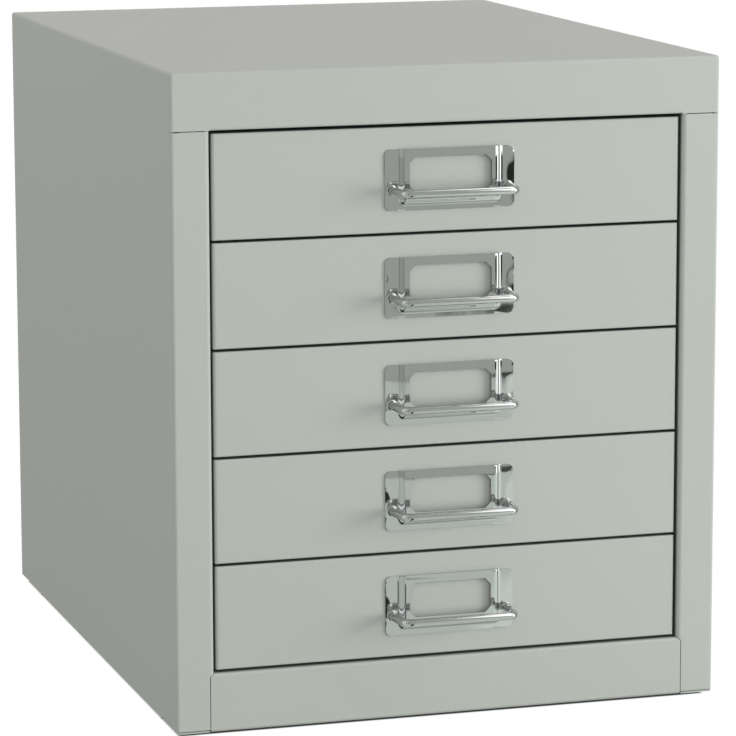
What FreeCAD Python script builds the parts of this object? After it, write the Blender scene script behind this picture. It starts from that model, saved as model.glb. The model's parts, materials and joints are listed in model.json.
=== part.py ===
import FreeCAD, Part
import math
import os

# Small steel drawer cabinet for a desk top: a folded sheet carcass, five shallow drawers
# on caged rollers, and on each drawer a pressed label holder with a wire bow.
# Millimetres. The front looks towards -Y and the four feet stand on z = 0.

# Carcass
body_width = 279.0
body_depth = 361.0
sheet = 0.9
outer_bend = 1.5
stile_width = 19.0
stile_inner_bend = 2.2
stile_return = 16.0
rear_flange = 14.0
rail_end_gap = 0.6
flange_set_back = 0.3
skirt_height = 28.1
header_gap = 1.7
header_bend = 1.2
header_return = 12.0
lap_above = 12.0
lap_gap = 1.7
rail_height = 29.2
rail_bend = 1.5
rail_return = 14.0
seam = 0.4
corner_slit = 0.55
slit_length = 3.8
base_upstand = 10.0

# Feet, pushed through the bottom flanges and the base
foot_diameter = 11.0
foot_show = 2.5
foot_side_gap = 1.0
foot_inset_end = 42.0
stem_diameter = 4.0
stem_clearance = 0.1
barb_diameter = 6.0
barb_tip_diameter = 3.0
barb_height = 2.6

# Drawer fronts
drawer_count = 5
front_height = 51.4
drawer_gap = 1.3
side_gap = 1.3
front_recess = 2.0
front_depth = 12.0
front_sheet = 0.8
front_side_bend = 1.8

# Drawer trays
tray_flange_reach = 9.6
tray_drop = 7.8
tray_rise = 3.0
tray_sheet = 0.7
tray_bend = 2.0
tray_lip = 2.4
lip_clearance = 1.4
rear_clearance = 12.0
stop_tab_drop = 3.6
skin_clearance = 0.1

# Runners and roller cages
runner_sheet = 0.9
runner_side_clearance = 0.6
runner_lip = 1.6
runner_stop_height = 3.0
runner_end_gap = 4.0
runner_front_gap = 1.0
over_clearance = 0.6
roller_diameter = 4.8
roller_clearance = 0.1
rollers_per_cage = 2
roller_end_margin = 6.0
slot_clearance = 0.15
cage_length = 48.0
cage_rim = 1.0
cage_sheet = 0.8
cage_side_clearance = 0.5
stop_clearance = 0.3

# Label holder, pressed with a card pocket that is open at the top
plate_width = 66.0
plate_height = 30.0
plate_corner = 3.0
plate_sheet = 0.7
pocket_margin = 7.2
pocket_slope = 2.3
pocket_rise = 1.7
pocket_foot_rise = 3.0
pocket_slope_low = 3.0
pocket_corner = 3.0
window_side_margin = 12.25
window_drop = 3.8
window_foot_rise = 8.9
window_cut = 3.0

# Bow handle
wire_diameter = 4.0
wire_clearance = 0.05
bow_reach = 21.0
bow_root_inset = 3.3
bow_root_rise = 10.2
bow_lean = 1.1
bow_bend = 4.5
peen_diameter = 6.2
peen_height = 1.2

# How far a cutting shape runs past what it cuts, and the smallest edge that is drawn
overrun = 5.0
least_edge = 1e-6

# Levels and planes worked out from the sizes above
half_width = body_width / 2
back = (body_depth + bow_reach - front_recess) / 2
front = back - body_depth
face = front + front_recess
opening_edge = half_width - stile_width
body_bottom = foot_show
rail_top = body_bottom + rail_height
drawer_pitch = front_height + drawer_gap
cap_bottom = rail_top + drawer_count * drawer_pitch + header_gap
body_top = cap_bottom + skirt_height
stile_bottom = body_bottom + sheet + seam
front_half = opening_edge - side_gap
back_inner = back - 2 * sheet

# The runner's section and the lengths along it, on the right-hand side
lip_outer = opening_edge - lip_clearance
tray_side = lip_outer - tray_flange_reach
runner_inner = tray_side + runner_side_clearance
runner_web = half_width - sheet
race_inner = runner_inner + runner_sheet
race_outer = lip_outer - tray_sheet
cage_inner = race_inner + cage_side_clearance
cage_outer = race_outer - cage_side_clearance
runner_front = front + stile_return + runner_front_gap
runner_back = back_inner - runner_end_gap
tray_front = face + front_depth
tray_back = back_inner - rear_clearance
cage_front = runner_front + runner_sheet + stop_clearance
drawer_travel = tray_back - tray_sheet - cage_front - cage_length - stop_clearance


def on_plan(z):
    return lambda u, v: FreeCAD.Vector(u, v, z)


def on_front(y):
    return lambda u, v: FreeCAD.Vector(u, y, v)


def on_side(x):
    return lambda u, v: FreeCAD.Vector(x, u, v)


def along(x=0, y=0, z=0):
    return FreeCAD.Vector(x, y, z)


def way(a, b):
    """Unit direction from point a to point b of a flat outline."""
    length = math.hypot(b[0] - a[0], b[1] - a[1])
    return (b[0] - a[0]) / length, (b[1] - a[1]) / length


def rounded(corners, place):
    """Face inside an outline of (u, v, radius) corners, each corner rounded by its radius."""
    arcs = []
    for i, (u, v, radius) in enumerate(corners):
        to_last = way((u, v), corners[i - 1])
        to_next = way((u, v), corners[(i + 1) % len(corners)])
        if not radius:
            arcs.append((place(u, v), None, place(u, v)))
            continue
        half_angle = math.acos(to_last[0] * to_next[0] + to_last[1] * to_next[1]) / 2
        run = radius / math.tan(half_angle)
        inward = way((0, 0), (to_last[0] + to_next[0], to_last[1] + to_next[1]))
        depth = radius / math.sin(half_angle) - radius
        arcs.append((place(u + to_last[0] * run, v + to_last[1] * run),
                     place(u + inward[0] * depth, v + inward[1] * depth),
                     place(u + to_next[0] * run, v + to_next[1] * run)))
    edges = []
    for i, (start, crown, end) in enumerate(arcs):
        if crown:
            edges.append(Part.Arc(start, crown, end).toShape())
        onward = arcs[(i + 1) % len(arcs)][0]
        if (onward - end).Length > least_edge:
            edges.append(Part.makeLine(end, onward))
    return Part.Face(Part.Wire(edges))


def folded(line, thickness, place, run):
    """Sheet folded along a line of (u, v, outside bend radius) points, its metal on the left."""
    near = []
    far = []
    for i, (u, v, bend) in enumerate(line):
        came = way(line[i - 1], line[i]) if i else way(line[0], line[1])
        goes = way(line[i], line[i + 1]) if i < len(line) - 1 else came
        mitre = thickness / (1 + came[0] * goes[0] + came[1] * goes[1])
        turn = came[0] * goes[1] - came[1] * goes[0]
        inside = bend - thickness if bend else 0
        near.append((u, v, bend if turn > 0 else inside))
        far.append((u - (came[1] + goes[1]) * mitre, v + (came[0] + goes[0]) * mitre,
                    inside if turn > 0 else bend))
    return rounded(near + far[::-1], place).extrude(run)


def block(x, y, z):
    """Box between two limits on each axis."""
    return Part.makeBox(x[1] - x[0], y[1] - y[0], z[1] - z[0], FreeCAD.Vector(x[0], y[0], z[0]))


def rod(radius, start, run):
    return Part.makeCylinder(radius, run.Length, start, run)


def mirrored(shape):
    """The same piece on the other side of the cabinet."""
    return shape.mirror(FreeCAD.Vector(0, 0, 0), FreeCAD.Vector(1, 0, 0))


def foot_places():
    """Centres of the four feet, seen from above."""
    x = half_width - outer_bend - foot_side_gap - foot_diameter / 2
    ends = {"front": front + foot_inset_end, "rear": back - foot_inset_end}
    return {f"foot_{end}_{side}": (sign * x, y)
            for end, y in ends.items() for side, sign in (("left", -1), ("right", 1))}


def stem_holes():
    """The holes that the four foot stems pass through."""
    radius = stem_diameter / 2 + stem_clearance
    return [rod(radius, along(x, y, 0), along(z=overrun + foot_show)) for x, y in foot_places().values()]


def rounded_box(grow, z):
    """The body's block, its upright corners rounded, drawn in by a distance."""
    x = half_width - grow
    bend = outer_bend - grow
    plan = [(-x, front + grow, bend), (x, front + grow, bend), (x, back - grow, bend), (-x, back - grow, bend)]
    return rounded(plan, on_plan(z[0])).extrude(along(z=z[1] - z[0]))


def top_cap():
    """Top, header fascia and skirts, drawn as one shallow lid."""
    lid = rounded_box(0, (cap_bottom, body_top))
    lid = lid.makeFillet(outer_bend, [e for e in lid.Edges if e.CenterOfMass.z > body_top - least_edge])
    hollow = rounded_box(sheet, (cap_bottom - overrun, body_top - sheet))
    roof = [e for e in hollow.Edges if e.CenterOfMass.z > body_top - sheet - least_edge]
    lid = lid.cut(hollow.makeFillet(outer_bend - sheet, roof))
    # The fascia's lower edge folds back between the two stiles
    half = opening_edge - seam
    fold_top = cap_bottom + 2 * header_bend
    lid = lid.cut(block((-half, half), (front - overrun, front + sheet), (cap_bottom - overrun, fold_top)))
    fold = [(front, fold_top, 0), (front, cap_bottom, header_bend), (front + header_return, cap_bottom, 0)]
    return lid.fuse(folded(fold, sheet, on_side(-half), along(x=2 * half))).removeSplitter()


def side_panel():
    """Right-hand side: stile and return in front, flanges behind and below, a lap above."""
    inner = opening_edge
    plan = [(inner, front + stile_return, 0), (inner, front, stile_inner_bend), (half_width, front, outer_bend),
            (half_width, back, outer_bend), (half_width - rear_flange, back, 0)]
    panel = folded(plan, sheet, on_plan(stile_bottom), along(z=cap_bottom - stile_bottom))
    # Bottom flange, its ends relieved under the two upright bends
    fold = [(half_width, stile_bottom + outer_bend, 0), (half_width, body_bottom, outer_bend),
            (opening_edge + stile_inner_bend - seam + rail_end_gap, body_bottom, 0)]
    run = (front + flange_set_back, back - flange_set_back)
    flange = mirrored_section(fold, run)
    above = (stile_bottom - corner_slit, stile_bottom + outer_bend + overrun)
    for end in ((front - overrun, front + outer_bend), (back - outer_bend, back + overrun)):
        flange = flange.cut(block((0, half_width + overrun), end, above))
    panel = panel.fuse(flange.common(rounded_box(0, (body_bottom, cap_bottom))))
    # Strip that stands up behind the skirt of the cap
    lap = block((runner_web - sheet, runner_web), (front + outer_bend, back_inner - seam),
                (runner_top(front_low(1)) + lap_gap, cap_bottom + lap_above))
    panel = panel.fuse(lap)
    # Mitre to the bottom rail, and the seam and slits under the cap
    side = [(inner - overrun, rail_top + rail_bend * overrun / stile_inner_bend, 0),
            (inner + stile_inner_bend, rail_top - rail_bend, 0),
            (inner + stile_inner_bend, body_bottom, 0), (inner - overrun, body_bottom, 0)]
    depth = stile_return + 2 * overrun
    panel = panel.cut(rounded(side, on_front(front - overrun)).extrude(along(y=depth)))
    panel = panel.cut(block((0, half_width - outer_bend), (front - overrun, front + sheet),
                            (cap_bottom - seam, cap_bottom + overrun)))
    panel = panel.cut(block((half_width - slit_length, half_width + overrun), (front - overrun, front + outer_bend),
                            (cap_bottom - corner_slit, cap_bottom + overrun)))
    for hole in stem_holes():
        panel = panel.cut(hole)
    return panel.removeSplitter()


def mirrored_section(fold, run):
    """Sheet folded the other way round, so that its metal lies on the right of the line."""
    flipped = [(-u, v, bend) for u, v, bend in fold]
    return mirrored(folded(flipped, sheet, on_front(run[0]), along(y=run[1] - run[0])))


def back_panel():
    """Flat back, behind the flanges of the sides and up behind the cap."""
    half = half_width - outer_bend
    return block((-half, half), (back_inner, back - sheet), (body_bottom + sheet, cap_bottom + lap_above))


def base_panel():
    """Floor on the flanges, turned up in front of the back panel, with the stem holes."""
    level = body_bottom + sheet
    fold = [(front + outer_bend, level, 0), (back_inner, level, outer_bend), (back_inner, level + base_upstand, 0)]
    half = half_width - outer_bend
    floor = folded(fold, sheet, on_side(-half), along(x=2 * half))
    for hole in stem_holes():
        floor = floor.cut(hole)
    return floor


def bottom_rail():
    """Channel between the stiles, its ends mitred where both bends meet."""
    fold = [(front + rail_return, rail_top, 0), (front, rail_top, rail_bend),
            (front, body_bottom, rail_bend), (front + rail_return, body_bottom, 0)]
    end = opening_edge + stile_inner_bend - seam
    rail = folded(fold, sheet, on_side(-end), along(x=2 * end))
    mitre = [(end - stile_inner_bend, rail_top, 0), (end, rail_top - rail_bend, 0),
             (end + overrun, rail_top - rail_bend, 0), (end + overrun, rail_top + overrun, 0),
             (end - stile_inner_bend, rail_top + overrun, 0)]
    corner = rounded(mitre, on_front(front - overrun)).extrude(along(y=rail_return + 2 * overrun))
    return rail.cut(corner).cut(mirrored(corner))


def rubber_foot(x, y):
    """Push-in foot: a pad, a stem through the sheets and a barb above them."""
    pad = foot_diameter / 2
    stem = stem_diameter / 2
    seat = foot_show + 2 * sheet
    profile = [(0, 0, 0), (pad, 0, 0), (pad, foot_show, 0), (stem, foot_show, 0), (stem, seat, 0),
               (barb_diameter / 2, seat, 0), (barb_tip_diameter / 2, seat + barb_height, 0),
               (0, seat + barb_height, 0)]
    turned = rounded(profile, on_front(0)).revolve(along(), along(z=1), 360)
    turned.translate(along(x, y, 0))
    return turned


def front_low(number):
    """Lower edge of a drawer's front, drawer 1 being the top one."""
    return rail_top + drawer_gap + (drawer_count - number) * drawer_pitch


def tray_top(low):
    return low + front_height - tray_drop


def race_floor(low):
    """Level that the rollers run on, in the runner of the drawer whose front starts at low."""
    return tray_top(low) - tray_sheet - roller_diameter - 2 * roller_clearance


def roller_level(low):
    return race_floor(low) + roller_clearance + roller_diameter / 2


def runner_top(low):
    return tray_top(low) + over_clearance + runner_sheet


def runner(low):
    """C-shaped channel on the right-hand side, with a roller race and a stop at each end."""
    floor = race_floor(low)
    under = floor - runner_sheet
    over = runner_top(low)
    fold = [(runner_inner, floor + runner_lip, 0), (runner_inner, under, runner_sheet),
            (runner_web, under, runner_sheet), (runner_web, over, runner_sheet), (runner_inner, over, 0)]
    length = runner_back - runner_front
    channel = folded(fold, runner_sheet, on_front(runner_back), along(y=-length))
    ends = ((runner_front, runner_front + runner_sheet),
            (tray_back + stop_clearance, tray_back + stop_clearance + runner_sheet))
    for end in ends:
        channel = channel.fuse(block((race_inner, cage_outer), end, (floor, floor + runner_stop_height)))
    return channel.removeSplitter()


def roller_places(low):
    """Inner end of each roller of one right-hand cage, with the drawer shut."""
    first = cage_front + drawer_travel / 2 + roller_end_margin
    pitch = (cage_length - 2 * roller_end_margin) / (rollers_per_cage - 1)
    x = cage_inner + cage_rim + slot_clearance
    return [FreeCAD.Vector(x, first + pitch * i, roller_level(low)) for i in range(rollers_per_cage)]


def roller_cage(low):
    """Strip with a slot for each roller."""
    start = cage_front + drawer_travel / 2
    level = roller_level(low) - cage_sheet / 2
    strip = block((cage_inner, cage_outer), (start, start + cage_length), (level, level + cage_sheet))
    reach = roller_diameter / 2 + slot_clearance
    for place in roller_places(low):
        slot = block((cage_inner + cage_rim, cage_outer - cage_rim), (place.y - reach, place.y + reach),
                     (level - overrun, level + overrun))
        strip = strip.cut(slot)
    return strip


def rollers(low):
    """Steel rollers of both cages of one drawer."""
    length = cage_outer - cage_inner - 2 * (cage_rim + slot_clearance)
    right = [rod(roller_diameter / 2, place, along(x=length)) for place in roller_places(low)]
    return Part.makeCompound(right + [mirrored(roller) for roller in right])


def drawer_tray(low):
    """Drawer body: folded sides with roller flanges, end walls and a stop tab behind each flange."""
    bottom = low + tray_rise
    top = tray_top(low)
    under = top - tray_sheet
    right = [(tray_side, bottom, tray_bend), (tray_side, under, tray_sheet),
             (race_outer, under, tray_sheet), (race_outer, top - tray_lip, 0)]
    left = [(-u, v, bend) for u, v, bend in reversed(right)]
    tray = folded(left + right, tray_sheet, on_front(tray_back), along(y=tray_front - tray_back))
    inner = tray_side - tray_sheet
    bend = tray_bend - tray_sheet
    wall = [(-inner, bottom + tray_sheet, bend), (inner, bottom + tray_sheet, bend), (inner, top, 0), (-inner, top, 0)]
    end_wall = rounded(wall, on_front(tray_back)).extrude(along(y=-tray_sheet))
    # The front wall closes the back of the drawer front and is as high as that
    side = front_half - front_sheet - skin_clearance
    edge = front_sheet + skin_clearance
    skin = block((-side, side), (tray_front - tray_sheet, tray_front), (low + edge, low + front_height - edge))
    tab = block((cage_inner, race_outer), (tray_back - tray_sheet, tray_back), (under - stop_tab_drop, under))
    return tray.fuse([end_wall, skin, tab, mirrored(tab)]).removeSplitter()


def pan(drawn_in, low, depth):
    """Rounded block of a drawer front, drawn in by a distance on every closed side."""
    x = front_half - drawn_in
    z = (low + drawn_in, low + front_height - drawn_in)
    y = (face + drawn_in, face + depth)
    side_bend = front_side_bend - drawn_in
    tight_bend = front_sheet - drawn_in
    plan = [(-x, y[0], side_bend), (x, y[0], side_bend), (x, y[1], 0), (-x, y[1], 0)]
    section = [(y[0], z[0], tight_bend), (y[1], z[0], 0), (y[1], z[1], 0), (y[0], z[1], tight_bend)]
    outline = [(-x, z[0], tight_bend), (x, z[0], tight_bend), (x, z[1], tight_bend), (-x, z[1], tight_bend)]
    across = rounded(plan, on_plan(z[0])).extrude(along(z=z[1] - z[0]))
    across = across.common(rounded(section, on_side(-x)).extrude(along(x=2 * x)))
    return across.common(rounded(outline, on_front(y[0])).extrude(along(y=y[1] - y[0])))


def drawer_front(low):
    """Pan-shaped drawer front, folded back all round, with the two holes of the bow."""
    shell = pan(0, low, front_depth).cut(pan(front_sheet, low, front_depth + overrun))
    return shell.cut(bow_holes(low))


def plate_bottom(low):
    return low + (front_height - plate_height) / 2


def bow_legs(low):
    """For each leg of the bow, where its centre line meets the drawer's face and where it meets the bar's."""
    root_x = plate_width / 2 - bow_root_inset
    root_z = plate_bottom(low) + bow_root_rise
    bar_y = face - bow_reach + wire_diameter / 2
    return [(FreeCAD.Vector(side * root_x, face, root_z),
             FreeCAD.Vector(side * (root_x - bow_lean), bar_y, root_z)) for side in (-1, 1)]


def bow_holes(low):
    """The two holes that the legs pass through, in line with the legs."""
    radius = wire_diameter / 2 + wire_clearance
    holes = []
    for root, corner in bow_legs(low):
        onward = (corner - root).normalize() * overrun
        holes.append(rod(radius, root - onward, onward * 2))
    return holes


def pocket(low, y):
    """Tapered block of the card pocket: its foot lies at depth y and its crown in front of it."""
    bottom = plate_bottom(low) + pocket_foot_rise
    top = plate_bottom(low) + plate_height + overrun
    x = plate_width / 2 - pocket_margin
    crown = y - pocket_rise
    across = [(-x, y, 0), (x, y, 0), (x - pocket_slope, crown, 0), (pocket_slope - x, crown, 0)]
    upright = [(y, bottom, 0), (y, top, 0), (crown, top, 0), (crown, bottom + pocket_slope_low, 0)]
    wedge = rounded(across, on_plan(bottom)).extrude(along(z=top - bottom))
    wedge = wedge.common(rounded(upright, on_side(-x)).extrude(along(x=2 * x)))
    return wedge.makeFillet(pocket_corner, [e for e in wedge.Edges if runs_every_way(e)])


def runs_every_way(edge):
    """Whether an edge has a run along all three axes, as the pocket's two lower corners do."""
    box = edge.BoundBox
    return min(box.XLength, box.YLength, box.ZLength) > least_edge


def label_plate(low):
    """Pressed label holder: flat wings, a raised card pocket and a window with cut corners."""
    bottom = plate_bottom(low)
    top = bottom + plate_height
    half = plate_width / 2
    outline = [(-half, bottom, plate_corner), (half, bottom, plate_corner),
               (half, top, plate_corner), (-half, top, plate_corner)]
    blank = rounded(outline, on_front(face - plate_sheet)).extrude(along(y=plate_sheet))
    stock = rounded(outline, on_front(face - overrun)).extrude(along(y=overrun))
    plate = blank.fuse(pocket(low, face - plate_sheet).common(stock))
    # The pocket behind is the same pressing, one sheet further back
    plate = plate.cut(pocket(low, face))
    x = half - window_side_margin
    high = top - window_drop
    sill = bottom + window_foot_rise
    window = [(-x + window_cut, sill, 0), (x - window_cut, sill, 0), (x, sill + window_cut, 0),
              (x, high - window_cut, 0), (x - window_cut, high, 0), (-x + window_cut, high, 0),
              (-x, high - window_cut, 0), (-x, sill + window_cut, 0)]
    plate = plate.cut(rounded(window, on_front(face - overrun)).extrude(along(y=2 * overrun)))
    return plate.cut(bow_holes(low)).removeSplitter()


def bow_handle(low):
    """Bent wire bow, its two ends through plate and front and peened over behind."""
    (left_root, left_corner), (right_root, right_corner) = bow_legs(low)
    reach = wire_reach(left_root, left_corner)
    points = [left_root + reach, left_corner, right_corner, right_root + FreeCAD.Vector(-reach.x, reach.y, reach.z)]
    edges = []
    last = points[0]
    for before, point, after in zip(points, points[1:], points[2:]):
        to_last = (before - point).normalize()
        to_next = (after - point).normalize()
        half_angle = to_last.getAngle(to_next) / 2
        run = bow_bend / math.tan(half_angle)
        inward = (to_last + to_next).normalize() * (bow_bend / math.sin(half_angle) - bow_bend)
        edges.append(Part.makeLine(last, point + to_last * run))
        edges.append(Part.Arc(point + to_last * run, point + inward, point + to_next * run).toShape())
        last = point + to_next * run
    edges.append(Part.makeLine(last, points[-1]))
    ring = Part.Wire(Part.makeCircle(wire_diameter / 2, points[0], left_corner - left_root))
    bow = Part.Wire(edges).makePipeShell([ring], True, True)
    behind = along(y=front_sheet)
    for end in (points[0], points[-1]):
        collar = rod(peen_diameter / 2, FreeCAD.Vector(end.x, face, end.z) + behind, along(y=peen_height))
        bow = bow.fuse(collar)
    return bow


def wire_reach(root, corner):
    """From a leg's root to its end inside the peened collar, straight on behind the drawer's face."""
    back_along = (root - corner) * (1 / (root.y - corner.y))
    return back_along * (front_sheet + peen_height / 2)


def all_pieces():
    """Every piece by its node's name, drawer 1 being the top one."""
    pieces = {"top_cap": top_cap(), "side_panel_right": side_panel(), "back_panel": back_panel(),
              "base_panel": base_panel(), "bottom_rail": bottom_rail()}
    pieces["side_panel_left"] = mirrored(pieces["side_panel_right"])
    for name, (x, y) in foot_places().items():
        pieces[name] = rubber_foot(x, y)
    for number in range(1, drawer_count + 1):
        low = front_low(number)
        pieces[f"runner_right_{number}"] = runner(low)
        pieces[f"runner_left_{number}"] = mirrored(pieces[f"runner_right_{number}"])
        pieces[f"drawer_tray_{number}"] = drawer_tray(low)
        pieces[f"drawer_front_{number}"] = drawer_front(low)
        pieces[f"label_plate_{number}"] = label_plate(low)
        pieces[f"bow_handle_{number}"] = bow_handle(low)
        pieces[f"roller_cage_right_{number}"] = roller_cage(low)
        pieces[f"roller_cage_left_{number}"] = mirrored(pieces[f"roller_cage_right_{number}"])
        pieces[f"rollers_{number}"] = rollers(low)
    return pieces


os.makedirs("parts", exist_ok=True)
for name, shape in all_pieces().items():
    shape.exportStep(f"parts/{name}.step")
    print(name, "solids", len(shape.Solids), "valid", shape.isValid(), "volume", round(shape.Volume, 1))
print("drawer travel", round(drawer_travel, 3))
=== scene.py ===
import json
import math

import bmesh
import bpy
from mathutils import Matrix, Vector


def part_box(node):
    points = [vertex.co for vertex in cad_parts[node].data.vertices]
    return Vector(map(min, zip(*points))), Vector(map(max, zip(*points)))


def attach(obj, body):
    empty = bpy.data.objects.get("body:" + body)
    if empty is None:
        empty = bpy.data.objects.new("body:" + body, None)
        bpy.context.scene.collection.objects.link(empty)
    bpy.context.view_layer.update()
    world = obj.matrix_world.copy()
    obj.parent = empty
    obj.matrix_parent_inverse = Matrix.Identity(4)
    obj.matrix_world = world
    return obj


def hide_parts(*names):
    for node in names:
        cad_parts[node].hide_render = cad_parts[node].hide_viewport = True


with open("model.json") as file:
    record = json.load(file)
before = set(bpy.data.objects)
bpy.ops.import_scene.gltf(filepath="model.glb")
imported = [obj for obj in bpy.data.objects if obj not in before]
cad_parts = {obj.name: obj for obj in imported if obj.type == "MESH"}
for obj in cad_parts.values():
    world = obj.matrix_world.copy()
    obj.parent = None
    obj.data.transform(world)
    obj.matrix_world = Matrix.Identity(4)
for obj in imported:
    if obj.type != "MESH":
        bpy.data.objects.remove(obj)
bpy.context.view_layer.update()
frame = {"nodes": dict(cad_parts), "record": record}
nodes = frame["nodes"]
drawers = range(1, 6)

# Camera, in metres and degrees, fitted to the photograph
camera_place = (-0.5841, -1.9399, 0.5058)
camera_pan = -17.036
camera_tilt = 79.968
camera_roll = -0.136
camera_lens = 189.4

# Studio: sky and lamps, at the level at which a colour renders about as written
sky_strength = 0.52
sky_colour = (1.05, 1.0, 0.985)
lamp_colour = (0.975, 1.0, 0.995)
front_lamp = {"place": (-0.2, -2.6, 0.6), "size": 1.3, "power": 12.6}
right_lamp = {"place": (1.6, -1.2, 0.25), "size": 1.0, "power": 28.2}
left_lamp = {"place": (-2.2, -0.3, 0.8), "size": 1.3, "power": 2.6}
lamp_aim = (0.0, -0.1, 0.17)
floor_half = 4.0
floor_tint = (0.53, 0.53, 0.53)
floor_glow = 1.05
floor_shown_share = 0.95
floor_mirrored = (0.74, 0.80, 0.755)
floor_pale_level = 1.25
floor_bright_level = 1.5
floor_right_level = 0.35
floor_left_level = 0.9
floor_band_level = 0.7
shade_inset = 0.0075
shade_inset_side = 0.0036
shade_edge = 0.0020

# What only bright metal mirrors: grey walls round the front, a dark flag and bright boxes
# at the right, a greyer left, a grey ceiling in front and a bright one above
wall_depth = 0.93
wall_width = 0.84
wall_squareness = 3.0
wall_top = 1.15
wall_left = -64
wall_right = 104
wall_step = 4
ceiling_back = -0.25
canopy_height = 1.6
canopy_half = 0.9
box_foot = 0.235
box_edge = 0.02
box_overhead = (0.40, 0.46)
overhead_fade = (wall_top - 0.3, wall_top - 0.2)
flag_height = (0.072, 0.21, 0.01)
spot_height = (0.027, 0.045)
spot_grain = 0.045
spot_share = (0.55, 0.60)
canopy_change = (0.34, 0.50)
wall_grey = (0.52, 0.55, 0.51)
left_grey = (0.45, 0.475, 0.445)
left_band_level = 0.7
left_box_level = 0.3
flag_black = (0.03, 0.035, 0.03)
box_white = (2.1, 2.1, 2.1)
far_right = (0.14, 0.15, 0.14)
canopy_white = (3.2, 3.2, 3.2)
canopy_pale = (0.52, 0.54, 0.52)

# Where the walls' patterns lie, in degrees round the front: from, to and, but for fades, the edge's width
wall_spots = (0, 22, 4)
wall_flag = (23, 55, 1.5)
wall_near_box = (24, 58, 1.5)
wall_far_box = (59, 81, 1.5)
wall_left_band = (-40, -28, 1.5)
wall_left_box = (-70, -46, 1.5)
wall_left_fade = (-24, -8)
wall_right_fade = (84, 87)

# The same for the floor, then where its patterns fade in, as squares of the distance from the front,
# and a dark wedge of painted shadow on it, which widens to the front from below the bows' left corners
floor_pale = (26, 54, 5)
floor_bright = (60, 80, 4)
floor_left_band = (-40, -28, 3)
floor_left_fade = (-22, -8)
floor_right_fade = (83, 87)
floor_clear = (0.01, 0.03)
shade_wedge_left = 0.19
shade_wedge_right = 0.21
shade_wedge_edge = 0.003
shade_wedge_reach = (0.01, 0.5, 0.01)

# Finishes
paint_tint = (0.485, 0.517, 0.479)
chrome_tint = (0.55, 0.557, 0.554)
zinc_tint = (0.60, 0.61, 0.60)
steel_tint = (0.70, 0.70, 0.71)
rubber_tint = (0.022, 0.022, 0.024)
# Painted shade in the label holder's lower creases: its colour and how fully it covers the chrome
crease_tint = (0.10, 0.11, 0.10)
crease_cover = 0.75

# Painted shade on the folds behind the face of fronts, stiles, header and rail: the paint is darkened there,
# where the gaps lie in shade
fold_start = 0.0016
fold_end = 0.016
fold_edge = 0.0012
fold_half = 0.136
fold_top = 0.320
fold_painted_shade = 0.62

# The fronts and the body, as the solids have them
side_low, side_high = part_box("side_panel_left")
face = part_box("drawer_front_1")[0].y
body_front = side_low.y
body_back = side_high.y
body_half = -side_low.x

# Label holder: its blank, the window and the pressed card pocket
plate_width = 0.066
plate_height = 0.030
plate_sheet = 0.0007
plate_corner = 0.003
corner_steps = 8
window_half = 0.0210
window_sill = 0.0089
window_top = 0.0262
window_cut = 0.003
pocket_half = 0.0259
pocket_foot = 0.0033
pocket_rise = 0.0017
pocket_slope = 0.0021
pocket_slope_low = 0.0024
pocket_turn = 1.6
crease_steps = 20
plate_swell = 0.0003
edge_reach = 0.009
edge_steps = 8
foot_turn = 0.6
side_reach = 0.0045
side_steps = 5
side_rows = 8
side_middle = 0.0145
side_length = 0.007
side_turn_least = 0.1
side_turn_more = 0.8
crown_start = 0.0256
crown_lean = 0.036
crown_half = 0.0205
sheet_rounding = 0.00018
sheet_edge_angle = 50

# Painted shade in the pocket's two lower creases, in shares of the slope between them
crease_shade_low = -0.05
crease_shade_high = 1.05
crease_shade_width = 0.22
crease_shade_upper_share = 0.8
crease_shade_inset = 0.2

# Wire bow: its centre line, the shoulder in front of the plate and the peened end behind
wire_radius = 0.002
wire_play = 0.00005
root_x = 0.0297
corner_x = 0.0286
root_rise = 0.0102
bar_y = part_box("bow_handle_1")[0].y + wire_radius
wire_end = -0.1676
bow_bend = 0.0045
bend_steps = 14
wire_sides = 40
wire_edge_angle = 60
hole_sides = 24
shoulder = [(0.0020, 0.00062), (0.0024, 0.00058), (0.00262, 0.00042), (0.00268, 0.0002), (0.00268, 0.0)]
peened_end = [(0.0, 0.0012), (0.0018, 0.00118), (0.0026, 0.00098), (0.0030, 0.0006), (0.0031, 0.0003),
              (0.0031, 0.0)]
peen_y = -0.1682


class Amount:
    """A number that varies over a surface, worked out with ordinary operators."""

    def __init__(self, finish, socket):
        self.finish = finish
        self.socket = socket

    def combined(self, operation, first, second):
        return self.finish.amount("ShaderNodeMath", {"operation": operation}, {0: first, 1: second})

    def __add__(self, other):
        return self.combined("ADD", self, other)

    def __radd__(self, other):
        return self.combined("ADD", other, self)

    def __sub__(self, other):
        return self.combined("SUBTRACT", self, other)

    def __rsub__(self, other):
        return self.combined("SUBTRACT", other, self)

    def __mul__(self, other):
        return self.combined("MULTIPLY", self, other)

    def __rmul__(self, other):
        return self.combined("MULTIPLY", other, self)

    def ramp(self, low, high):
        """A soft step from 0 at low to 1 at high."""
        inputs = {"Value": self, "From Min": low, "From Max": high}
        return self.finish.amount("ShaderNodeMapRange", {"interpolation_type": "SMOOTHSTEP"}, inputs)

    def within(self, low, high, edge):
        """1 between low and high, falling to 0 over the edge outside them."""
        return self.ramp(low - edge, low) * (1 - self.ramp(high, high + edge))


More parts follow.
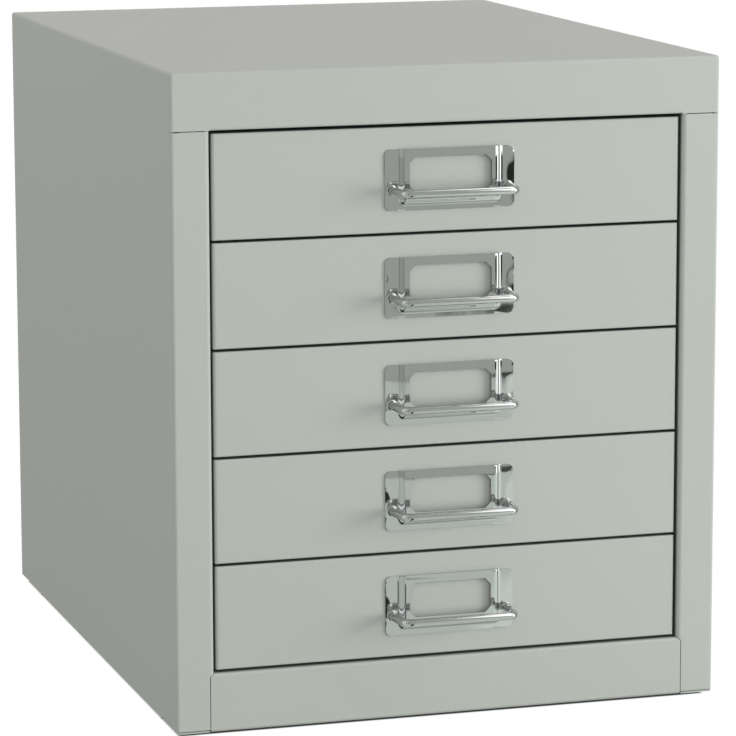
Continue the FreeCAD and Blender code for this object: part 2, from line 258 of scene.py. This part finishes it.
class Finish:
    """A material or sky, built up node by node."""

    def __init__(self, owner):
        self.owner = owner
        owner.use_nodes = True
        self.tree = owner.node_tree
        self.tree.nodes.clear()

    def node(self, kind, settings=None, inputs=None):
        """A new node: its settings first, then the values or links of its sockets."""
        made = self.tree.nodes.new(kind)
        for name, value in (settings or {}).items():
            setattr(made, name, value)
        for name, value in (inputs or {}).items():
            if isinstance(value, Amount):
                value = value.socket
            if isinstance(value, bpy.types.NodeSocket):
                self.tree.links.new(value, made.inputs[name])
            else:
                made.inputs[name].default_value = value
        return made

    def amount(self, kind, settings=None, inputs=None, output=0):
        """A new node's output as a number to work on."""
        return Amount(self, self.node(kind, settings, inputs).outputs[output])

    def place(self):
        """Where a point lies on its own piece, in metres."""
        return self.node("ShaderNodeTexCoord").outputs["Object"]

    def along(self, place):
        """The place's three distances, along x, y and z."""
        parts = self.node("ShaderNodeSeparateXYZ", None, {0: place})
        return [Amount(self, part) for part in parts.outputs]

    def stretched(self, place, scale):
        """The place, scaled by its own factor along each axis."""
        inputs = {"Vector": place, "Scale": scale}
        return self.node("ShaderNodeMapping", {"vector_type": "POINT"}, inputs).outputs[0]

    def noise(self, place, grain, detail=2.0, roughness=0.5):
        """Noise whose grains are about as wide as said, from 0 to 1."""
        inputs = {"Vector": place, "Scale": 1 / grain, "Detail": detail, "Roughness": roughness}
        return self.amount("ShaderNodeTexNoise", {"noise_dimensions": "3D"}, inputs)

    def blend(self, share, first, second):
        """A colour between two colours."""
        first, second = ((*colour, 1) if isinstance(colour, tuple) else colour for colour in (first, second))
        return self.node("ShaderNodeMix", {"data_type": "RGBA"}, {0: share, 6: first, 7: second}).outputs[2]

    def bump(self, height, rise):
        """Bumps whose height runs from nothing to the given rise, in metres."""
        inputs = {"Strength": 1.0, "Distance": rise, "Height": height}
        return self.node("ShaderNodeBump", None, inputs).outputs[0]

    def surface(self, values):
        """Ends the material in one glossy or matt shader."""
        shader = self.node("ShaderNodeBsdfPrincipled", None, values)
        self.node("ShaderNodeOutputMaterial", None, {"Surface": shader.outputs[0]})
        return self.owner


def shade(colour, factor):
    """The colour, brighter or darker by a factor."""
    return tuple(part * factor for part in colour)


def powder_paint():
    """Satin powder coat: faint orange peel, slight unevenness, and painted shade that darkens it inside the
    folds.
    """
    finish = Finish(bpy.data.materials.new("powder_paint"))
    place = finish.place()
    clouds = finish.noise(place, grain=0.11, detail=3.0)
    grain = finish.noise(place, grain=0.0011)
    peel = finish.noise(place, grain=0.0026, roughness=0.45)
    colour = finish.blend(clouds, shade(paint_tint, 0.975), shade(paint_tint, 1.02))
    x, y, z = finish.along(place)
    fold = y.within(face + fold_start, face + fold_end, fold_edge)
    fold = fold * x.within(-fold_half, fold_half, fold_edge) * (1 - z.ramp(fold_top, fold_top + fold_edge))
    # Painted shade: inside the folds the paint is blended towards a near-black copy of itself
    colour = finish.blend(fold_painted_shade * fold, colour, shade(paint_tint, 0.05))
    return finish.surface({
        "Base Color": colour, "Roughness": 0.40 + 0.06 * clouds + 0.05 * grain,
        "Specular IOR Level": 0.5, "Normal": finish.bump(peel, rise=0.000035)})


def pressed_chrome():
    """Chrome plate on pressed sheet: slightly wavy, with faint wiped smears."""
    finish = Finish(bpy.data.materials.new("pressed_chrome"))
    place = finish.place()
    waves = finish.noise(place, grain=0.014, detail=1.5)
    wiped = finish.stretched(place, (1.0, 1.0, 3.0))
    smears = finish.noise(wiped, grain=0.02, detail=3.0, roughness=0.6)
    crease_shade_share = finish.amount("ShaderNodeAttribute", {"attribute_name": "crease_shade_share"}, None, "Fac")
    colour = finish.blend(smears, shade(chrome_tint, 0.96), chrome_tint)
    # Painted shade: the pocket's lower creases are darkened towards the crease tint, and made a little
    # rougher
    return finish.surface({
        "Base Color": finish.blend(crease_cover * crease_shade_share, colour, crease_tint), "Metallic": 1.0,
        "Roughness": 0.03 + 0.05 * smears + 0.1 * crease_shade_share, "Normal": finish.bump(waves, rise=0.00005)})


def drawn_chrome():
    """Chrome plate on drawn wire: smooth, with faint polishing marks along it."""
    finish = Finish(bpy.data.materials.new("drawn_chrome"))
    place = finish.place()
    drawn = finish.stretched(place, (0.05, 1.0, 1.0))
    marks = finish.noise(drawn, grain=0.0006)
    smears = finish.noise(place, grain=0.012, detail=3.0, roughness=0.6)
    return finish.surface({
        "Base Color": finish.blend(smears, shade(chrome_tint, 0.94), chrome_tint), "Metallic": 1.0,
        "Roughness": 0.05 + 0.06 * smears, "Normal": finish.bump(marks, rise=0.000002)})


def zinc_plate():
    """Zinc-plated strip steel, faintly brushed along its length."""
    finish = Finish(bpy.data.materials.new("zinc_plate"))
    place = finish.place()
    brushed = finish.stretched(place, (1.0, 0.04, 1.0))
    strokes = finish.noise(brushed, grain=0.0008, detail=3.0, roughness=0.6)
    clouds = finish.noise(place, grain=0.02, detail=3.0)
    return finish.surface({
        "Base Color": finish.blend(clouds, shade(zinc_tint, 0.86), zinc_tint), "Metallic": 1.0,
        "Roughness": 0.28 + 0.12 * strokes + 0.08 * clouds, "Normal": finish.bump(strokes, rise=0.00001)})


def bearing_steel():
    """Ground and polished steel with the faintest turning marks."""
    finish = Finish(bpy.data.materials.new("bearing_steel"))
    place = finish.place()
    turned = finish.stretched(place, (6.0, 1.0, 1.0))
    rings = finish.noise(turned, grain=0.0007)
    return finish.surface({
        "Base Color": finish.blend(rings, shade(steel_tint, 0.93), steel_tint), "Metallic": 1.0,
        "Roughness": 0.10 + 0.08 * rings, "Normal": finish.bump(rings, rise=0.000003)})


def black_rubber():
    """Moulded rubber with a fine matt grain."""
    finish = Finish(bpy.data.materials.new("black_rubber"))
    place = finish.place()
    grain = finish.noise(place, grain=0.0006, detail=3.0, roughness=0.6)
    return finish.surface({
        "Base Color": finish.blend(grain, rubber_tint, shade(rubber_tint, 1.8)),
        "Roughness": 0.62 + 0.2 * grain, "Normal": finish.bump(grain, rise=0.00004)})


def background_rays(finish):
    """The rays that see the background: straight from the camera, and by way of metal and glass."""
    ray = finish.node("ShaderNodeLightPath").outputs
    direct = Amount(finish, ray["Is Camera Ray"])
    return direct, Amount(finish, ray["Is Glossy Ray"]) + Amount(finish, ray["Is Transmission Ray"])


def turn_round(finish):
    """How far round the front a point lies, in degrees from straight ahead to the right, with its place."""
    x, y, z = finish.along(finish.place())
    turn = finish.amount("ShaderNodeMath", {"operation": "ARCTAN2"}, {0: x, 1: face - y}) * math.degrees(1)
    return turn, x, y, z


def pale_floor():
    """Floor that shows white but keeps a soft trace of the object's shadow, black right under the object."""
    finish = Finish(bpy.data.materials.new("pale_floor"))
    direct, mirrored = background_rays(finish)
    turn, x, y, z = turn_round(finish)
    under = x.within(shade_inset_side - body_half, body_half - shade_inset_side, shade_edge)
    under = under * y.within(body_front + shade_inset, body_back - shade_inset, shade_edge)
    matt = finish.node("ShaderNodeBsdfDiffuse", None, {"Color": (*floor_tint, 1)})
    white = finish.node("ShaderNodeEmission", None, {"Color": (1, 1, 1, 1), "Strength": floor_glow})
    clear = (x * x + (y - face) * (y - face)).ramp(*floor_clear)
    bands = [(turn.within(*floor_pale), floor_pale_level), (turn.within(*floor_bright), floor_bright_level),
             (turn.ramp(*floor_right_fade), floor_right_level),
             (1 - turn.ramp(*floor_left_fade), floor_left_level),
             (turn.within(*floor_left_band), floor_band_level)]
    colour = floor_mirrored
    for band, level in bands:
        colour = finish.blend(band * clear, colour, shade(floor_mirrored, level))
    # Painted shadow: a dark wedge on the floor, seen only in bright metal, widening to the front from below
    # the bows' left corners
    ahead = bar_y - y
    stand = (x + corner_x).within(-shade_wedge_left * ahead, shade_wedge_right * ahead, shade_wedge_edge)
    colour = finish.blend(stand * ahead.within(*shade_wedge_reach), colour, flag_black)
    pale = finish.node("ShaderNodeEmission", None, {"Color": colour, "Strength": 1.0})
    share = direct * floor_shown_share * (1 - under)
    shown = finish.node("ShaderNodeMixShader", None, {0: share, 1: matt.outputs[0], 2: white.outputs[0]})
    share = mirrored * (1 - under)
    mix = finish.node("ShaderNodeMixShader", None, {0: share, 1: shown.outputs[0], 2: pale.outputs[0]})
    finish.node("ShaderNodeOutputMaterial", None, {"Surface": mix.outputs[0]})
    return finish.owner


def glow(finish, colour):
    """Ends a stage material that shines by itself."""
    light = finish.node("ShaderNodeEmission", None, {"Color": colour, "Strength": 1.0})
    finish.node("ShaderNodeOutputMaterial", None, {"Surface": light.outputs[0]})
    return finish.owner


def wall_cloth():
    """Grey cloth round the front: dark spots along its foot, a dark flag, and bright boxes at the sides."""
    finish = Finish(bpy.data.materials.new("wall_cloth"))
    turn, x, y, z = turn_round(finish)
    high = z.ramp(box_foot - box_edge, box_foot + box_edge)
    low = 1 - z.ramp(*spot_height)
    spots = finish.noise(finish.place(), spot_grain).ramp(*spot_share) * low
    colour = finish.blend(1 - turn.ramp(*wall_left_fade), wall_grey, left_grey)
    colour = finish.blend(spots * turn.within(*wall_spots), colour, flag_black)
    band = turn.within(*wall_left_band) * (1 - high)
    colour = finish.blend(band, colour, shade(left_grey, left_band_level))
    colour = finish.blend(turn.within(*wall_left_box) * high, colour, shade(box_white, left_box_level))
    colour = finish.blend(turn.within(*wall_flag) * z.within(*flag_height), colour, flag_black)
    below = 1 - z.ramp(*overhead_fade) * (1 - x.ramp(*box_overhead))
    colour = finish.blend(turn.within(*wall_near_box) * high * below, colour, box_white)
    colour = finish.blend(turn.within(*wall_far_box) * below, colour, box_white)
    colour = finish.blend(turn.ramp(*wall_right_fade), colour, far_right)
    return glow(finish, colour)


def canopy_cloth():
    """Cloth above the cabinet that gets brighter towards the right."""
    finish = Finish(bpy.data.materials.new("canopy_cloth"))
    x, y, z = finish.along(finish.place())
    return glow(finish, finish.blend(x.ramp(*canopy_change), canopy_pale, canopy_white))


def stage_piece(name, corners, faces, material):
    """A piece of the studio, which isn't part of the object."""
    mesh = bpy.data.meshes.new(name)
    mesh.from_pydata(corners, [], faces)
    mesh.materials.append(material)
    made = bpy.data.objects.new(name, mesh)
    bpy.context.scene.collection.objects.link(made)
    return made


def only_mirrored(made):
    """Lets nothing but bright surfaces see a piece of the studio."""
    made.visible_camera = False
    made.visible_diffuse = False
    made.visible_shadow = False
    made.visible_transmission = False


def studio_floor():
    """Floor that the cabinet stands on."""
    low, high = -floor_half, floor_half
    corners = [(low, low, 0), (high, low, 0), (high, high, 0), (low, high, 0)]
    stage_piece("floor", corners, [(0, 1, 2, 3)], pale_floor())


def studio_walls():
    """Walls that round the front of the cabinet, closed above by a strip of ceiling."""
    corners, faces = [], []
    for turn in range(wall_left, wall_right + 1, wall_step):
        across, ahead = math.sin(math.radians(turn)), math.cos(math.radians(turn))
        spread = abs(ahead / wall_depth) ** wall_squareness + abs(across / wall_width) ** wall_squareness
        far = spread ** (-1 / wall_squareness)
        x, y = across * far, face - ahead * far
        corners += [(x, y, 0.0), (x, y, wall_top), (x, max(y, ceiling_back), wall_top)]
    for first in range(0, len(corners) - 3, 3):
        faces.append((first, first + 3, first + 4, first + 1))
        faces.append((first + 1, first + 4, first + 5, first + 2))
    only_mirrored(stage_piece("walls", corners, faces, wall_cloth()))


def canopy():
    """Bright cloth above the cabinet, behind the strip of ceiling."""
    low, high = -canopy_half, canopy_half
    corners = [(low, ceiling_back, canopy_height), (high, ceiling_back, canopy_height),
               (high, high, canopy_height), (low, high, canopy_height)]
    only_mirrored(stage_piece("canopy", corners, [(0, 1, 2, 3)], canopy_cloth()))


def sky():
    """Plain even light from all round, white to the camera."""
    finish = Finish(bpy.data.worlds.new("studio_sky"))
    bpy.context.scene.world = finish.owner
    direct, mirrored = background_rays(finish)
    seen = direct + mirrored
    light = finish.node("ShaderNodeBackground", None, {"Color": (*sky_colour, 1), "Strength": sky_strength})
    white = finish.node("ShaderNodeBackground", None, {"Color": (1, 1, 1, 1), "Strength": 1.0})
    mix = finish.node("ShaderNodeMixShader", None, {0: seen, 1: light.outputs[0], 2: white.outputs[0]})
    finish.node("ShaderNodeOutputWorld", None, {"Surface": mix.outputs[0]})


def soft_lamp(name, place, size, power):
    """Square lamp that faces the cabinet and that bright metal doesn't mirror."""
    lamp = bpy.data.lights.new(name, "AREA")
    lamp.shape = "SQUARE"
    lamp.size = size
    lamp.energy = power
    lamp.color = lamp_colour
    stand = bpy.data.objects.new(name, lamp)
    stand.location = place
    stand.rotation_euler = (Vector(lamp_aim) - Vector(place)).to_track_quat("-Z", "Y").to_euler()
    stand.visible_glossy = False
    bpy.context.scene.collection.objects.link(stand)


def photo_camera():
    """The camera at the photograph's place and angle."""
    lens = bpy.data.cameras.new("photo_camera")
    lens.lens = camera_lens
    lens.sensor_width = 36
    stand = bpy.data.objects.new("photo_camera", lens)
    turn = Matrix.Rotation(math.radians(camera_pan), 4, "Z")
    turn = turn @ Matrix.Rotation(math.radians(camera_tilt), 4, "X")
    turn = turn @ Matrix.Rotation(math.radians(camera_roll), 4, "Z")
    stand.matrix_world = Matrix.Translation(camera_place) @ turn
    bpy.context.scene.collection.objects.link(stand)
    bpy.context.scene.camera = stand


def dress(names, material):
    """Gives the carried-over nodes their finish."""
    for name in names:
        nodes[name].data.materials.clear()
        nodes[name].data.materials.append(material)


def piece(name, mesh, material, body, node):
    """A piece of the cabinet in place of one of its solids."""
    mesh.name = name
    mesh.materials.append(material)
    made = bpy.data.objects.new(name, mesh)
    bpy.context.scene.collection.objects.link(made)
    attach(made, body)
    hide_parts(node)
    return made


def arc(centre, radius, first, last, steps):
    """Points of an arc in the plane of the front, angles in degrees from +x towards +z."""
    angles = [math.radians(first + (last - first) * step / steps) for step in range(steps + 1)]
    x, z = centre
    return [(x + radius * math.cos(angle), z + radius * math.sin(angle)) for angle in angles]


def plate_edges():
    """Outline of the label holder and its openings, x from its middle and z from its foot."""
    x = plate_width / 2 - plate_corner
    low, high = plate_corner, plate_height - plate_corner
    outline = []
    for centre, first in [((-x, low), 180), ((x, low), 270), ((x, high), 0), ((-x, high), 90)]:
        outline += arc(centre, plate_corner, first, first + 90, corner_steps)
    x, inner = window_half, window_half - window_cut
    low, high = window_sill + window_cut, window_top - window_cut
    window = [(-inner, window_sill), (inner, window_sill), (x, low), (x, high),
              (inner, window_top), (-inner, window_top), (-x, high), (-x, low)]
    last = 360 - 360 / hole_sides
    holes = [arc((side * root_x, root_rise), wire_radius + wire_play, 0, last, hole_sides - 1)
             for side in (-1, 1)]
    return [outline, window] + holes


def eased(along):
    """A line that starts to climb at 0, its corner rounded off."""
    if along <= -0.5:
        return 0.0
    return along if along >= 0.5 else (along + 0.5) ** 2 / 2


def pressed(x, z):
    """How far the pressing stands out at a point of the label holder."""
    inward = (pocket_half - abs(x)) / pocket_slope
    upward = (z - pocket_foot) / pocket_slope_low
    climb = pocket_turn - math.hypot(max(0, pocket_turn - inward), max(0, pocket_turn - upward))
    pocket = pocket_rise * (eased(climb) - eased(climb - 1))
    # The sheet swells a little and turns back to the drawer along its edges, most beside the bow's roots
    end_turn = max(0, z - plate_height + edge_reach, foot_turn * (edge_reach - z)) / edge_reach
    side_turn = max(0, abs(x) - plate_width / 2 + side_reach) / side_reach
    beside = max(0, 1 - ((z - side_middle) / side_length) ** 2)
    side_fall = side_turn ** 2 * (side_turn_least + side_turn_more * beside)
    swell = plate_swell * (1 - end_turn ** 2) * (1 - side_fall)
    crown = min(1, max(0, (pocket_half - abs(x)) / (pocket_half - crown_half)))
    return pocket + swell - crown_lean * crown * max(0, z - crown_start)


def crease_shade(x, z):
    """How much painted shade darkens the two lower creases of the pocket at a point of the label holder."""
    inward = (pocket_half - abs(x)) / pocket_slope
    upward = (z - pocket_foot) / pocket_slope_low
    low = max(0, 1 - abs(upward - crease_shade_low) / crease_shade_width)
    high = max(0, 1 - abs(upward - crease_shade_high) / crease_shade_width)
    return min(1, max(0, inward + crease_shade_inset)) * (low + crease_shade_upper_share * high)


def crease_lines():
    """Where the blank is cut up, so that its creases bend smoothly: (direction, place)."""
    lines = []
    for step in range(crease_steps + 1):
        climb = -0.5 + 2 * step / crease_steps
        x = pocket_half - climb * pocket_slope
        lines += [((1, 0, 0), (x, 0, 0)), ((1, 0, 0), (-x, 0, 0))]
        lines.append(((0, 0, 1), (0, 0, pocket_foot + climb * pocket_slope_low)))
    for step in range(1, edge_steps + 1):
        z = edge_reach * step / edge_steps
        lines += [((0, 0, 1), (0, 0, plate_height - z)), ((0, 0, 1), (0, 0, z))]
    for step in range(1, side_steps + 1):
        x = plate_width / 2 - side_reach * step / side_steps
        lines += [((1, 0, 0), (x, 0, 0)), ((1, 0, 0), (-x, 0, 0))]
    for step in range(1, side_rows):
        z = side_middle - side_length + 2 * side_length * step / side_rows
        lines.append(((0, 0, 1), (0, 0, z)))
    return lines


def plate_mesh(foot):
    """Pressed blank of the label holder, standing on the drawer's face, its foot at the given height."""
    form = bmesh.new()
    for loop in plate_edges():
        corners = [form.verts.new((x, 0, z)) for x, z in loop]
        for first, second in zip(corners, corners[1:] + corners[:1]):
            form.edges.new((first, second))
    bmesh.ops.triangle_fill(form, use_beauty=True, edges=form.edges[:], normal=(0, -1, 0))
    for direction, place in crease_lines():
        geometry = form.verts[:] + form.edges[:] + form.faces[:]
        bmesh.ops.bisect_plane(form, geom=geometry, dist=1e-7, plane_co=place, plane_no=direction)
    crease_shade_share = form.verts.layers.float.new("crease_shade_share")
    for corner in form.verts:
        x, z = corner.co.x, corner.co.z
        corner.co = (x, face - plate_sheet - pressed(x, z), foot + z)
        # Painted shade for the pocket's lower creases, kept on each corner for the chrome to read
        corner[crease_shade_share] = crease_shade(x, z)
    for side in form.faces:
        if side.normal.y > 0:
            side.normal_flip()
        side.smooth = True
    mesh = bpy.data.meshes.new("plate")
    form.to_mesh(mesh)
    form.free()
    return mesh


def label_plate(number, foot, material):
    """Label holder of a drawer: sheet of even thickness with its sharp edges rounded."""
    mesh = plate_mesh(foot)
    made = piece(f"label_holder_{number}", mesh, material, f"drawer_{number}", f"label_plate_{number}")
    sheet = made.modifiers.new("sheet", "SOLIDIFY")
    sheet.thickness = plate_sheet
    sheet.offset = -1
    edges = made.modifiers.new("edges", "BEVEL")
    edges.limit_method = "ANGLE"
    edges.angle_limit = math.radians(sheet_edge_angle)
    edges.width = sheet_rounding
    edges.segments = 2
    made.modifiers.new("flats", "WEIGHTED_NORMAL")


def bow_line():
    """Centre line of the bow in plan, from one end behind the drawer's face to the other."""
    lean = (root_x - corner_x) / (face - bar_y)
    end = Vector((-root_x - lean * (wire_end - face), wire_end))
    corner = Vector((-corner_x, bar_y))
    to_end, to_bar = (end - corner).normalized(), Vector((1, 0))
    half_angle = to_end.angle(to_bar) / 2
    run = bow_bend / math.tan(half_angle)
    middle = corner + (to_end + to_bar).normalized() * (bow_bend / math.sin(half_angle))
    first, last = corner + to_end * run - middle, corner + to_bar * run - middle
    sweep = first.angle(last)
    half = [end]
    for step in range(bend_steps + 1):
        share = step / bend_steps
        mixed = (first * math.sin((1 - share) * sweep) + last * math.sin(share * sweep)) / math.sin(sweep)
        half.append(middle + mixed)
    return half + [Vector((-point.x, point.y)) for point in reversed(half)]


def add_wire(form, height):
    """Round wire along the bow's centre line."""
    line = bow_line()
    rings = []
    for index, point in enumerate(line):
        ahead = (line[min(index + 1, len(line) - 1)] - line[max(index - 1, 0)]).normalized()
        aside = Vector((ahead.y, -ahead.x))
        ring = []
        for step in range(wire_sides):
            angle = math.tau * step / wire_sides
            out = aside * (wire_radius * math.cos(angle))
            up = wire_radius * math.sin(angle)
            ring.append(form.verts.new((point.x + out.x, point.y + out.y, height + up)))
        rings.append(ring)
    for one, two in zip(rings, rings[1:]):
        for step in range(wire_sides):
            after = (step + 1) % wire_sides
            form.faces.new((one[step], one[after], two[after], two[step]))
    form.faces.new(rings[0])
    form.faces.new(rings[-1])


def add_turned(form, x, y, height, profile, direction):
    """A turned form round the wire: its profile gives radius and how far it stands out."""
    rings = []
    for radius, out in profile:
        if radius == 0:
            rings.append([form.verts.new((x, y + direction * out, height))] * wire_sides)
            continue
        angles = [math.tau * step / wire_sides for step in range(wire_sides)]
        around = [(x + radius * math.cos(angle), height + radius * math.sin(angle)) for angle in angles]
        rings.append([form.verts.new((across, y + direction * out, up)) for across, up in around])
    for one, two in zip(rings, rings[1:]):
        for step in range(wire_sides):
            after = (step + 1) % wire_sides
            corners = [one[step], one[after], two[after], two[step]]
            form.faces.new(list(dict.fromkeys(corners)))
    form.faces.new(rings[-1])


def bow(number, foot, material):
    """Wire bow of a drawer, with its shoulders against the plate and its ends peened over behind."""
    form = bmesh.new()
    height = foot + root_rise
    add_wire(form, height)
    lean = (root_x - corner_x) / (face - bar_y)
    plate_x = root_x - lean * plate_sheet
    plate_y = face - plate_sheet - plate_swell
    end_x = root_x + lean * (wire_end - face)
    for side in (-1, 1):
        add_turned(form, side * plate_x, plate_y, height, shoulder, -1)
        add_turned(form, side * end_x, peen_y, height, peened_end, 1)
    bmesh.ops.recalc_face_normals(form, faces=form.faces[:])
    for side in form.faces:
        side.smooth = len(side.verts) < 5
    mesh = bpy.data.meshes.new("bow")
    form.to_mesh(mesh)
    form.free()
    made = piece(f"wire_bow_{number}", mesh, material, f"drawer_{number}", f"bow_handle_{number}")
    edges = made.modifiers.new("edges", "BEVEL")
    edges.limit_method = "ANGLE"
    edges.angle_limit = math.radians(wire_edge_angle)
    edges.width = wire_play
    edges.segments = 2


slots = {part["node"]: part["material_slot"] for part in frame["record"]["subparts"]}
finishes = {"paint": powder_paint(), "chrome": pressed_chrome(), "zinc": zinc_plate(),
            "bearing_steel": bearing_steel(), "rubber": black_rubber()}
for slot, material in finishes.items():
    dress([name for name in nodes if slots[name] == slot], material)

wire_finish = drawn_chrome()
for number in drawers:
    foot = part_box(f"label_plate_{number}")[0].z
    label_plate(number, foot, finishes["chrome"])
    bow(number, foot, wire_finish)

studio_floor()
studio_walls()
canopy()
sky()
soft_lamp("front_lamp", **front_lamp)
soft_lamp("right_lamp", **right_lamp)
soft_lamp("left_lamp", **left_lamp)
photo_camera()
bpy.context.scene.view_settings.view_transform = "Standard"
